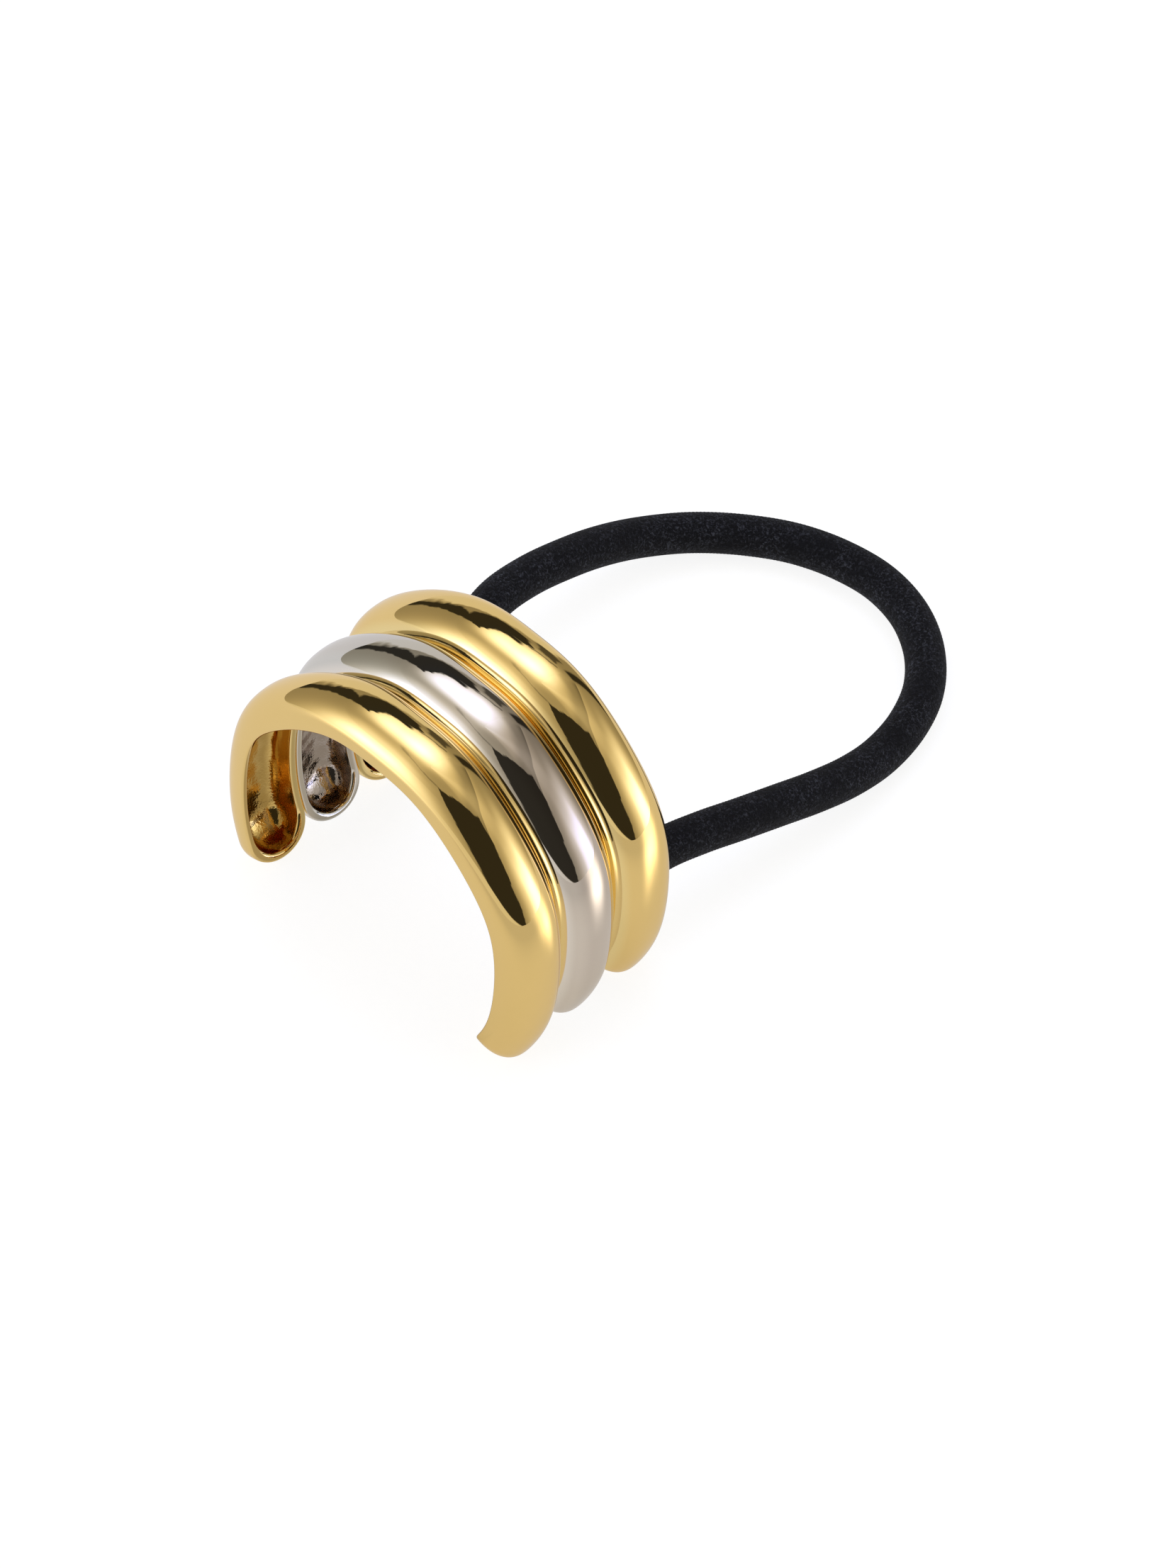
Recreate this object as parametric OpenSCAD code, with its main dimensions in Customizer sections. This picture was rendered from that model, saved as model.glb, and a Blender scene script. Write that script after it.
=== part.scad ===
// Ponytail cuff: three domed ribs stand side by side as an arch on their six rounded tips, and a loop of
// round elastic leaves the arch at the rear. X runs from the left tips to the right tips, Y from the front
// rib to the rear rib, Z up. The origin is on the ground under the middle of the arch.

/* [Arch] */
// Inside width of the arch, rim to rim, at its widest place
arch_span = 36.3; // [30:0.1:46]
// Height of the rims' path, from the rim at a tip to the rim at the top
arch_height = 31.6; // [26:0.1:42]

/* [Ribs] */
// Distance from one rib's middle to the next
rib_pitch = 8; // [7:0.1:11]
// Gap left at the seam where two ribs' rims meet
seam_gap = 0.1; // [0.05:0.05:0.3]
// How far the dome stands out from the rims at the top of the arch
top_rise = 3.6; // [2.8:0.1:5]
// How far the dome stands out from the rims near the tips
tip_rise = 4.5; // [2.8:0.1:6]
// How much lower the middle rib's dome is than the outer ones'
middle_drop = 0.3; // [0:0.05:0.6]
// Thickness of the metal
wall = 0.9; // [0.6:0.05:1.4]
// Length over which a rib's width rounds off into its tip
tip_round = 3.2; // [2:0.1:5]
// Length over which the dome closes down to the rim at its tip
tip_close = 2.1; // [1.4:0.1:4]

/* [Elastic and its fixings] */
// Thickness of the round elastic
elastic_d = 4.5; // [3:0.1:5]
// Thickness of the wire of a staple
wire_d = 1.2; // [0.8:0.1:1.6]
// Clearance between the elastic and a staple
elastic_clear = 0.1; // [0.05:0.05:0.3]
// Gap between the elastic and the rims it passes
rim_clear = 0.45; // [0.2:0.05:1]
// Distance of a staple from the tip of its rib, along the rim
staple_up = 8.45; // [7:0.05:12]
// Gap between a staple's feet and the inner wall they stand on
foot_gap = 0.3; // [0.2:0.05:0.5]

/* [Hidden] */

gold = [0.84, 0.68, 0.38];
silver = [0.80, 0.79, 0.77];
black = [0.08, 0.08, 0.09];

// Rings along a rib, and points round the outside and the inside of its section
RINGS = 60;
OUTER_SIDES = 14;
INNER_SIDES = 10;
// Samples of the rims' path when its length is measured, and the half step that gives its direction
PATH_SAMPLES = 240;
look_step = 0.05;
// The section is a rounded arch between a half circle (2) and a box
dome_power = 2.3;
// How the rise grows from the top of the arch to its tips
rise_power = 2.36;
// Width of the solid end inside a tip, as a share of the rib's width there
core_share = 0.3;

// Half of the rims' path, from the top of the arch to the right tip. The columns are the share of half the
// span and the share of the height. The path is the even cubic spline that these points pull into shape.
HALF_PATH = [
    [0.00, 1.000],
    [0.37, 1.000],
    [0.84, 0.767],
    [1.01, 0.571],
    [1.00, 0.180],
    [0.83, 0.000]
];

rib_half = (rib_pitch - seam_gap) / 2;
// Distance of the elastic's middle from the rims' path, at a staple
elastic_in = elastic_d / 2 + rim_clear;
staple_r = elastic_d / 2 + elastic_clear + wire_d / 2;

// Route of the elastic's middle line, from its left end inside the rear rib, round the loop on the ground,
// to its right end inside the rear rib
ELASTIC_ROUTE = [
    [-15.2, 5.5, 9.2], [-15.2, 9, 9.2], [-15.4, 13, 9.2], [-17, 18, 9.1], [-19, 23, 9], [-20.3, 28, 8.7],
    [-20.5, 33, 8], [-20.1, 38, 7], [-19.5, 43, 5.6], [-18.2, 48.5, 3.8], [-15.5, 53.5, 2.8],
    [-11.5, 57.8, 2.3], [-7, 60.8, 2.3], [-2, 62.7, 2.3], [3, 63.4, 2.3], [8, 62.5, 2.3], [12.5, 60, 2.3],
    [16.2, 56, 2.3], [18.4, 51, 2.3], [19.3, 46, 2.5], [19.5, 41, 3.5], [19.1, 36, 4.8], [18.3, 31, 6.1],
    [17.4, 26, 7.3], [16.3, 21, 8.3], [15.4, 16, 9], [15.2, 12, 9.2], [15.2, 9, 9.2], [15.2, 5.5, 9.2]
];
// Sides of the elastic, of a staple's wire, and of a staple's bend if it were a full ring
ELASTIC_SIDES = 10;
WIRE_SIDES = 24;
BEND_SIDES = 48;

// The rims' path

right_half = [for (p = HALF_PATH) [p[0] * arch_span / 2, p[1] * arch_height]];
left_half = [for (i = [len(right_half) - 1 : -1 : 1]) [-right_half[i][0], right_half[i][1]]];
knots = concat(left_half, right_half);
last = len(knots) - 1;
pulls = concat([2 * knots[0] - knots[1]], knots, [2 * knots[last] - knots[last - 1]]);

function weights(t) = [(1 - t) ^ 3, 3 * t ^ 3 - 6 * t ^ 2 + 4, -3 * t ^ 3 + 3 * t ^ 2 + 3 * t + 1, t ^ 3] / 6;
function path_point(u) =
    let (i = min(floor(u), last - 1), t = u - i)
    weights(t) * [pulls[i], pulls[i + 1], pulls[i + 2], pulls[i + 3]];

samples = [for (i = [0 : PATH_SAMPLES]) i / PATH_SAMPLES * last];
sample_points = [for (u = samples) path_point(u)];
function running(steps, i = 0, sum = 0) =
    i == len(steps) ? [sum] : concat([sum], running(steps, i + 1, sum + steps[i]));
lengths = running([for (i = [1 : PATH_SAMPLES]) norm(sample_points[i] - sample_points[i - 1])]);
path_length = lengths[PATH_SAMPLES];
length_to_u = [for (i = [0 : PATH_SAMPLES]) [lengths[i], samples[i]]];

// A place on the path, s along it from the left tip: the point, and the direction out of the arch
function place(s) = path_point(lookup(s, length_to_u));
function outward(s) =
    let (a = place(max(s - look_step, 0)), b = place(min(s + look_step, path_length)), d = (b - a) / norm(b - a))
    [-d[1], d[0]];

// The ribs' section

// Quarter circle from 0 to 1
function rounding(x) = sqrt(1 - (1 - min(max(x, 0), 1)) ^ 2);
function from_tip(s) = min(s, path_length - s);
function rise(s, drop) =
    let (out = abs(2 * s / path_length - 1), full = top_rise + (tip_rise - top_rise) * out ^ rise_power - drop)
    full * rounding(from_tip(s) / tip_close);
function half_width(s) = rib_half * rounding(from_tip(s) / tip_round);
function hollow_rise(s, drop) =
    let (deep = rise(s, drop) - wall, e = from_tip(s) - wall)
    e <= 0 || deep <= 0 ? 0 : deep * rounding(e / tip_close);
function hollow_half(s) =
    max((rib_half - wall) * rounding((from_tip(s) - wall) / tip_round), core_share * half_width(s));
function arch_of(half, high, a) =
    [half * sign(cos(a)) * abs(cos(a)) ^ (2 / dome_power), high * abs(sin(a)) ^ (2 / dome_power)];
function section(s, drop) = concat(
    [for (i = [0 : OUTER_SIDES]) arch_of(half_width(s), rise(s, drop), 180 * i / OUTER_SIDES)],
    [for (i = [INNER_SIDES : -1 : 0]) arch_of(hollow_half(s), hollow_rise(s, drop), 180 * i / INNER_SIDES)]
);
function to_space(s, q, y) =
    let (p = place(s), n = outward(s))
    [p[0] + n[0] * q[1], y - q[0], p[1] + n[1] * q[1]];

SECTION_POINTS = OUTER_SIDES + INNER_SIDES + 2;
stations = [for (i = [1 : RINGS - 1]) path_length * (1 - cos(180 * i / RINGS)) / 2];
function rib_points(y, drop) = concat(
    [to_space(0, [0, 0], y)],
    [for (s = stations) for (q = section(s, drop)) to_space(s, q, y)],
    [to_space(path_length, [0, 0], y)]
);
// Lowest point of an outer rib, which the part stands on
foot = min([for (p = rib_points(0, 0)) p[2]]);

// Triangles of a tube of rings between a first and a last single point
function ring_faces(rings, n) = let (end = rings * n + 1) concat(
    [for (j = [0 : n - 1]) [0, 1 + j, 1 + (j + 1) % n]],
    [for (i = [0 : rings - 2]) for (j = [0 : n - 1])
        let (a = 1 + i * n + j, b = 1 + i * n + (j + 1) % n) each [[a, a + n, b], [b, a + n, b + n]]],
    [for (j = [0 : n - 1]) [end, end - n + (j + 1) % n, end - n + j]]
);

module rib(y, drop) {
    translate([0, 0, -foot])
        polyhedron(points = rib_points(y, drop), faces = ring_faces(RINGS - 1, SECTION_POINTS), convexity = 8);
}

module front_rib() {
    color(gold) rib(-rib_pitch, 0);
}

module middle_rib() {
    color(silver) rib(0, middle_drop);
}

module rear_rib() {
    color(gold) rib(rib_pitch, 0);
}

// A staple stands on the inner wall of the rear rib, and the elastic's end passes through it
module staple() {
    s = path_length - staple_up;
    p = place(s);
    n = outward(s);
    reach = elastic_in + hollow_rise(s, 0) - foot_gap;
    translate([p[0], rib_pitch, p[1] - foot])
        rotate([0, -atan2(n[1], n[0]), 0])
            translate([-elastic_in, 0, 0]) {
                rotate([90, 90, 0])
                    rotate([0, 0, 180])
                        rotate_extrude(angle = 180, $fn = BEND_SIDES)
                            translate([staple_r, 0]) circle(d = wire_d, $fn = WIRE_SIDES);
                for (side = [-1, 1])
                    translate([0, 0, side * staple_r])
                        rotate([0, 90, 0]) cylinder(d = wire_d, h = reach, $fn = WIRE_SIDES);
            }
}

module right_staple() {
    color(gold) staple();
}

module left_staple() {
    color(gold) mirror([1, 0, 0]) staple();
}

// The elastic

function unit(v) = v / norm(v);
elastic_last = len(ELASTIC_ROUTE) - 1;
function along(i) = unit(ELASTIC_ROUTE[min(i + 1, elastic_last)] - ELASTIC_ROUTE[max(i - 1, 0)]);
function elastic_ring(i) =
    let (t = along(i), side = unit(cross(t, [0, 0, 1])), up = cross(side, t))
    [for (k = [0 : ELASTIC_SIDES - 1]) let (a = 360 * (k + 0.5) / ELASTIC_SIDES)
        ELASTIC_ROUTE[i] + elastic_d / 2 * (side * cos(a) + up * sin(a))];
elastic_points = concat(
    [ELASTIC_ROUTE[0]],
    [for (i = [0 : elastic_last]) each elastic_ring(i)],
    [ELASTIC_ROUTE[elastic_last]]
);

module elastic() {
    color(black)
        polyhedron(points = elastic_points, faces = ring_faces(elastic_last + 1, ELASTIC_SIDES), convexity = 8);
}

front_rib();
middle_rib();
rear_rib();
left_staple();
right_staple();
elastic();
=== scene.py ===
"""Ponytail cuff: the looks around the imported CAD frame.

Blender's objects are in metres, in the frame's own axes. The meshes are worked out in millimetres, as in the CAD.
"""

import math
from functools import reduce

import bpy
import numpy as np
from mathutils import Matrix, Vector


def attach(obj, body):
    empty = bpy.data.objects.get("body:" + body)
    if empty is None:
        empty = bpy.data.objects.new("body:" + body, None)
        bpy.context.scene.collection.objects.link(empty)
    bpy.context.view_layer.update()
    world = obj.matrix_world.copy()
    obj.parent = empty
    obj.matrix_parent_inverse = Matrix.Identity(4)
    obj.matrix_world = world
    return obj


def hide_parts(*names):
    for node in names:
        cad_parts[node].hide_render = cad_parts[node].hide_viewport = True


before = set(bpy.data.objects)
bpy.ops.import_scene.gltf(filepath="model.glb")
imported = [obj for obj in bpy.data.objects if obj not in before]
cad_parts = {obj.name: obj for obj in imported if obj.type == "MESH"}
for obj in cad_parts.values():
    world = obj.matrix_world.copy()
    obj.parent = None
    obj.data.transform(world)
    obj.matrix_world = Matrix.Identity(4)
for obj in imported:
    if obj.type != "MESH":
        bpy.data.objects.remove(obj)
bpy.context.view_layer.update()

MM = 0.001
WHITE, BLACK = (1, 1, 1, 1), (0, 0, 0, 1)
scene = bpy.context.scene
scene.view_settings.view_transform = "Standard"
# Light runs many times between the walls of the seams before it leaves them
scene.cycles.max_bounces = 16
scene.cycles.glossy_bounces = 16

# ---------------------------------------------------------------- camera

CAMERA_AZIMUTH, CAMERA_ELEVATION, CAMERA_ROLL = (math.radians(a) for a in (40.49, 51.20, 4.68))
CAMERA_DISTANCE = 1.0
# The point looked at is this far to the right and up, in the view, from a point above the origin
AIM_RIGHT, AIM_UP, AIM_HEIGHT = 0.014008, 0.008238, 0.008406
LENS, SENSOR = 221.73, 36
CLIP_NEAR, CLIP_FAR = 0.01, 50


def make_camera():
    sin_a, cos_a = math.sin(CAMERA_AZIMUTH), math.cos(CAMERA_AZIMUTH)
    sin_e, cos_e = math.sin(CAMERA_ELEVATION), math.cos(CAMERA_ELEVATION)
    back = Vector((cos_e * sin_a, -cos_e * cos_a, sin_e))
    right = Vector((cos_a, sin_a, 0))
    up = back.cross(right)
    place = Vector((0, 0, AIM_HEIGHT)) + AIM_RIGHT * right + AIM_UP * up + CAMERA_DISTANCE * back
    sin_r, cos_r = math.sin(CAMERA_ROLL), math.cos(CAMERA_ROLL)
    x_axis = cos_r * right + sin_r * up
    y_axis = cos_r * up - sin_r * right
    data = bpy.data.cameras.new("camera")
    data.lens = LENS
    data.sensor_width = SENSOR
    data.clip_start, data.clip_end = CLIP_NEAR, CLIP_FAR
    camera = bpy.data.objects.new("camera", data)
    scene.collection.objects.link(camera)
    turn = Matrix((x_axis, y_axis, back)).transposed().to_4x4()
    camera.matrix_world = Matrix.Translation(place) @ turn
    scene.camera = camera


make_camera()

# ---------------------------------------------------------------- meshes


def mesh_object(name, points, faces, face_materials=None):
    """A smooth mesh from points in millimetres."""
    mesh = bpy.data.meshes.new(name)
    mesh.from_pydata((np.asarray(points) * MM).tolist(), [], [tuple(f) for f in faces])
    mesh.polygons.foreach_set("use_smooth", [True] * len(mesh.polygons))
    if face_materials is not None:
        mesh.polygons.foreach_set("material_index", face_materials)
    mesh.validate()
    made = bpy.data.objects.new(name, mesh)
    scene.collection.objects.link(made)
    return made


def tube_faces(rings, sides):
    """Faces of rings of points, one after another, with a single point before the first and after the last."""
    j = np.arange(sides)
    k = (j + 1) % sides
    first = [(0, 1 + a, 1 + b) for a, b in zip(j, k)]
    i = np.arange(rings - 1)[:, None] * sides + 1
    quads = np.stack(np.broadcast_arrays(i + j, i + j + sides, i + k + sides, i + k), -1).reshape(-1, 4)
    end = rings * sides + 1
    last = [(end, end - sides + b, end - sides + a) for a, b in zip(j, k)]
    return first + quads.tolist() + last


# ---------------------------------------------------------------- elastic

ELASTIC_D = 4.5
ELASTIC_ROUTE = [
    (-15.2, 5.5, 9.2), (-15.2, 9, 9.2), (-15.4, 13, 9.2), (-17, 18, 9.1), (-19, 23, 9), (-20.3, 28, 8.7),
    (-20.5, 33, 8), (-20.1, 38, 7), (-19.5, 43, 5.6), (-18.2, 48.5, 3.8), (-15.5, 53.5, 2.8),
    (-11.5, 57.8, 2.3), (-7, 60.8, 2.3), (-2, 62.7, 2.3), (3, 63.4, 2.3), (8, 62.5, 2.3), (12.5, 60, 2.3),
    (16.2, 56, 2.3), (18.4, 51, 2.3), (19.3, 46, 2.5), (19.5, 41, 3.5), (19.1, 36, 4.8), (18.3, 31, 6.1),
    (17.4, 26, 7.3), (16.3, 21, 8.3), (15.4, 16, 9), (15.2, 12, 9.2), (15.2, 9, 9.2), (15.2, 5.5, 9.2)
]
ROUTE_SAMPLES = 8000
ELASTIC_RINGS, ELASTIC_SIDES = 700, 64
# The knitted cover: the number of stitches round it, and half the depth of their relief
STITCHES, STITCH_DEPTH = 26, 0.03


def smooth_route(points, count):
    """Evenly spaced points on the smooth curve through the given ones, and its length."""
    p = np.array(points, float)
    gaps = np.sqrt(np.linalg.norm(np.diff(p, axis=0), axis=1))
    t = np.r_[0, np.cumsum(gaps ** 2)]
    slope = np.gradient(p, t, axis=0)
    fine = np.linspace(0, t[-1], ROUTE_SAMPLES)
    i = np.clip(np.searchsorted(t, fine, side="right") - 1, 0, len(t) - 2)
    h = (t[i + 1] - t[i])[:, None]
    u = (fine - t[i])[:, None] / h
    curve = ((2 * u ** 3 - 3 * u ** 2 + 1) * p[i] + (u ** 3 - 2 * u ** 2 + u) * h * slope[i]
             + (3 * u ** 2 - 2 * u ** 3) * p[i + 1] + (u ** 3 - u ** 2) * h * slope[i + 1])
    run = np.r_[0, np.cumsum(np.linalg.norm(np.diff(curve, axis=0), axis=1))]
    even = np.linspace(0, run[-1], count)
    return np.stack([np.interp(even, run, curve[:, k]) for k in range(3)], 1), run[-1]


def tube_frames(line):
    """Side and up directions along a line, turning no more than they must."""
    along = np.gradient(line, axis=0)
    along /= np.linalg.norm(along, axis=1)[:, None]
    side = np.cross(along[0], (0, 0, 1.0))
    sides = []
    for d in along:
        side = side - d * (side @ d)
        side = side / np.linalg.norm(side)
        sides.append(side)
    sides = np.array(sides)
    return sides, np.cross(sides, along)


def make_elastic():
    line, length = smooth_route(ELASTIC_ROUTE, ELASTIC_RINGS)
    side, up = tube_frames(line)
    a = np.arange(ELASTIC_SIDES) * 2 * np.pi / ELASTIC_SIDES
    # A shallow relief: every second ring has stitches, and the rings between are plain
    stitch = np.cos(a * STITCHES) * (np.arange(ELASTIC_RINGS)[:, None] % 2 == 0)
    radius = ELASTIC_D / 2 - STITCH_DEPTH + STITCH_DEPTH * stitch
    ring = np.cos(a)[None, :, None] * side[:, None, :] + np.sin(a)[None, :, None] * up[:, None, :]
    points = line[:, None, :] + radius[..., None] * ring
    points = np.vstack([line[:1], points.reshape(-1, 3), line[-1:]])
    made = mesh_object("elastic_cover", points, tube_faces(ELASTIC_RINGS, ELASTIC_SIDES))
    return made, line, length


elastic, elastic_line, elastic_length = make_elastic()
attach(elastic, "root")
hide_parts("elastic")

# ---------------------------------------------------------------- ribs

# The same sizes and formulas as the CAD source
ARCH_SPAN, ARCH_HEIGHT = 36.3, 31.6
RIB_PITCH, RIB_HALF = 8.0, 3.95
TOP_RISE, TIP_RISE, MIDDLE_DROP, WALL = 3.6, 4.5, 0.3, 0.9
TIP_ROUND, TIP_CLOSE = 3.2, 2.1
DOME_POWER, RISE_POWER = 2.3, 2.36
HALF_PATH = [(0, 1), (0.37, 1), (0.84, 0.767), (1.01, 0.571), (1, 0.18), (0.83, 0)]
FOOT = -0.9415
# The hollow closes down to the rim over this length at its tip, where the casting is a little thicker, and its
# section is a little squarer than the dome's
HOLLOW_CLOSE, HOLLOW_POWER = 3.8, 2.9
# Before the hollow begins, the rim's rings end between these shares of the half width
CORE_LEAST, CORE_MOST = 0.02, 0.6
# Radii of the rounded edges
OUTER_EDGE, INNER_EDGE = 0.3, 0.42
# A rounded edge is no higher than this share of the dome
EDGE_SHARE = 0.9
# The walls of two ribs stand straight and close together up to the first height, and leave each other by the second
SEAM_LOW, SEAM_HIGH = 0.3, 1.0
# Unevenness of the cast hollow: its height, the number of waves in it and their lengths, and the height over the
# rims' path by which it is full
LUMP, LUMP_WAVES, LUMP_LENGTHS, LUMP_FULL = 0.025, 24, (1.2, 4), 1.0
# Numbers of steps along a rib, faces over its dome, points between the edges of a rim, and faces through its hollow
RINGS, DOME_SIDES, RIM_SIDES, HOLLOW_SIDES = 580, 88, 12, 40
# The steps along a rib get shorter towards the tips, and would be even if this share were 1
EVEN_SHARE = 0.6
# The first ring's distance from the tip, and further rings where the hollow begins
FIRST_RING = 0.004
HOLLOW_RINGS = np.array([-0.002, 0.0, 0.004, 0.012, 0.03, 0.06])
PATH_SAMPLES, OUTLINE_SAMPLES = 4001, 40001
# Half step that gives the path's direction, and how far along the path the nearest outline is looked for
LOOK_STEP, LOOK_REACH = 0.02, 1.2

right_half = np.array([(x * ARCH_SPAN / 2, z * ARCH_HEIGHT) for x, z in HALF_PATH])
knots = np.vstack([right_half[:0:-1] * (-1, 1), right_half])
pulls = np.vstack([2 * knots[0] - knots[1], knots, 2 * knots[-1] - knots[-2]])


def path_at(u):
    """Points of the rims' path, an even cubic spline, at its own parameter."""
    i = np.minimum(u.astype(int), len(knots) - 2)
    t = (u - i)[:, None]
    return ((1 - t) ** 3 * pulls[i] + (3 * t ** 3 - 6 * t ** 2 + 4) * pulls[i + 1]
            + (-3 * t ** 3 + 3 * t ** 2 + 3 * t + 1) * pulls[i + 2] + t ** 3 * pulls[i + 3]) / 6


path_u = np.linspace(0, len(knots) - 1, PATH_SAMPLES)
path_run = np.r_[0, np.cumsum(np.hypot(*np.diff(path_at(path_u), axis=0).T))]
LENGTH = path_run[-1]


def place(s):
    """Points of the path, s along it from the left tip."""
    return path_at(np.interp(s, path_run, path_u))


def outward(s):
    """Directions out of the arch."""
    d = place(np.minimum(s + LOOK_STEP, LENGTH)) - place(np.maximum(s - LOOK_STEP, 0))
    d /= np.linalg.norm(d, axis=1)[:, None]
    return np.stack([-d[:, 1], d[:, 0]], 1)


def quarter(x):
    """Quarter circle from 0 to 1."""
    return np.sqrt(1 - (1 - np.clip(x, 0, 1)) ** 2)


def from_tip(s):
    return np.minimum(s, LENGTH - s)


def rise_at(s, drop):
    full = TOP_RISE + (TIP_RISE - TOP_RISE) * np.abs(2 * s / LENGTH - 1) ** RISE_POWER - drop
    return full * quarter(from_tip(s) / TIP_CLOSE)


def half_at(s):
    return RIB_HALF * quarter(from_tip(s) / TIP_ROUND)


def hollow_at(s, drop):
    """Half width and rise of the hollow."""
    e = from_tip(s) - WALL
    rise = np.maximum(rise_at(s, drop) - WALL, 0) * quarter(e / HOLLOW_CLOSE)
    return (RIB_HALF - WALL) * quarter(e / TIP_ROUND), rise


def dome(half, high, a, power=DOME_POWER):
    """Width and height of a rounded arch at an angle, between a half circle (power 2) and a box."""
    c, s = np.cos(a), np.abs(np.sin(a))
    return half * np.sign(c) * np.abs(c) ** (2 / power), high * s ** (2 / power)


def start_angle(high, level, power=DOME_POWER):
    """Angle at which an arch of that height reaches the level."""
    share = np.clip(level / np.maximum(high, 1e-6), 0, 1)
    return np.arcsin(share ** (power / 2))


def edge_round(distance, radius):
    """Height of a rounded edge over the rim's plane, at a distance from that edge."""
    inside = np.clip(radius - distance, 0, radius)
    return radius - np.sqrt(radius ** 2 - inside ** 2)


def outline_distance(s, y, edge):
    """Distance of points of the rim's plane from an outline, given as points (s, y)."""
    out = np.full(s.shape, 1e3)
    for k in range(len(s)):
        near = edge[np.abs(edge[:, 0] - s[k, 0]) < LOOK_REACH]
        if len(near):
            d = np.hypot(s[k][:, None] - near[None, :, 0], y[k][:, None] - near[None, :, 1])
            out[k] = d.min(1)
    return out


def lumps(points, seed):
    """Smooth random bumps between about -1 and 1."""
    rng = np.random.default_rng(seed)
    total = np.zeros(points.shape[:-1])
    for _ in range(LUMP_WAVES):
        way = rng.normal(size=3)
        way *= 2 * np.pi / rng.uniform(*LUMP_LENGTHS) / np.linalg.norm(way)
        total += np.sin(points @ way + rng.uniform(0, 2 * np.pi))
    return total / math.sqrt(LUMP_WAVES)


def ring_places():
    """Places of the rings along the path."""
    even = np.arange(RINGS + 1) / RINGS
    s = LENGTH * (EVEN_SHARE * even + (1 - EVEN_SHARE) / 2 * (1 - np.cos(np.pi * even)))
    s = s[(s > FIRST_RING) & (s < LENGTH - FIRST_RING)]
    extra = WALL + HOLLOW_RINGS
    return np.unique(np.r_[s, FIRST_RING, LENGTH - FIRST_RING, extra, LENGTH - extra])


def rim_outlines(drop):
    """The rib's outline and its hollow's, in the rim's plane, as points (s, y)."""
    share = np.linspace(0, 1, OUTLINE_SAMPLES)
    s = np.unique(np.r_[LENGTH * share, LENGTH * (1 - np.cos(np.pi * share)) / 2])
    keep = from_tip(s) >= WALL
    return np.stack([s, half_at(s)], 1), np.stack([s[keep], hollow_at(s, drop)[0][keep]], 1)


def make_rib(name, middle_y, drop, seams, seed):
    """A rib around the plane y = middle_y; seams names its sides (-1 front, 1 rear) that touch another rib."""
    s = ring_places()
    half, rise = half_at(s), rise_at(s, drop)
    in_half, in_rise = hollow_at(s, drop)
    level = np.minimum(OUTER_EDGE, rise)
    hollow = in_rise > INNER_EDGE
    in_half = np.where(hollow, in_half, np.minimum(np.maximum(in_half, CORE_LEAST * half), CORE_MOST * half))

    # Outer dome, from the rounded edge at the front over the top to the one at the rear
    a0 = start_angle(rise, level)[:, None]
    a = a0 + (np.pi - 2 * a0) * np.linspace(0, 1, DOME_SIDES + 1)
    outer_y, outer_h = dome(half[:, None], rise[:, None], a)
    leave = np.clip((outer_h - SEAM_LOW) / (SEAM_HIGH - SEAM_LOW), 0, 1)
    leave = leave * (2 - leave)
    straight = np.sign(outer_y) * (half[:, None] - (half[:, None] - np.abs(outer_y)) * leave)
    for side in seams:
        outer_y = np.where(np.sign(outer_y) == -side, straight, outer_y)

    # Rim, from the outline to the hollow
    share = 0.5 - 0.5 * np.cos(np.pi * np.linspace(0, 1, RIM_SIDES + 2)[1:])
    rim_y = half[:, None] + (in_half - half)[:, None] * share
    outline, inline = rim_outlines(drop)
    grid_s = np.broadcast_to(s[:, None], rim_y.shape)
    rim_h = np.maximum(edge_round(outline_distance(grid_s, rim_y, outline), OUTER_EDGE),
                       edge_round(outline_distance(grid_s, rim_y, inline), INNER_EDGE))
    rim_h = np.minimum(rim_h, rise[:, None] * EDGE_SHARE)

    # Hollow, from the rear back to the front
    b0 = np.where(hollow, start_angle(in_rise, INNER_EDGE, HOLLOW_POWER), 0)[:, None]
    b = b0 + (np.pi - 2 * b0) * np.linspace(0, 1, HOLLOW_SIDES + 1)[1:-1]
    hol_y, hol_h = dome(in_half[:, None], in_rise[:, None], b, HOLLOW_POWER)
    hol_h = np.where(hollow[:, None], np.maximum(hol_h, 0), rim_h[:, -1:])

    y = np.concatenate([outer_y, -rim_y, -hol_y, rim_y[:, ::-1]], 1)
    h = np.concatenate([outer_h, rim_h, hol_h, rim_h[:, ::-1]], 1)
    p, n = place(s), outward(s)

    def in_space():
        return np.stack([p[:, :1] + n[:, :1] * h, middle_y - y, p[:, 1:] + n[:, 1:] * h - FOOT], -1)

    first_in = DOME_SIDES + 1 + RIM_SIDES
    last_in = first_in + HOLLOW_SIDES
    inside = slice(first_in, last_in - 1)
    deep = np.clip(hol_h / LUMP_FULL, 0, 1) * hollow[:, None]
    h[:, inside] += LUMP * lumps(in_space()[:, inside], seed) * deep
    points = in_space()
    tips = [points[k].mean(0, keepdims=True) for k in (0, -1)]
    count = y.shape[1]
    in_hollow = [first_in <= j < last_in for j in range(count)]
    kinds = [0] * count + [int(there and hollow[i]) for i in range(len(s) - 1) for there in in_hollow] + [0] * count
    return mesh_object(name, np.vstack([tips[0], points.reshape(-1, 3), tips[1]]), tube_faces(len(s), count), kinds)


ribs = {
    "front_rib": make_rib("front_rib_polished", -RIB_PITCH, 0, (1,), 1),
    "middle_rib": make_rib("middle_rib_polished", 0, MIDDLE_DROP, (-1, 1), 2),
    "rear_rib": make_rib("rear_rib_polished", RIB_PITCH, 0, (-1,), 3),
}
for node, rib in ribs.items():
    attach(rib, "root")
    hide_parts(node)

# ---------------------------------------------------------------- nodes

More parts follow.
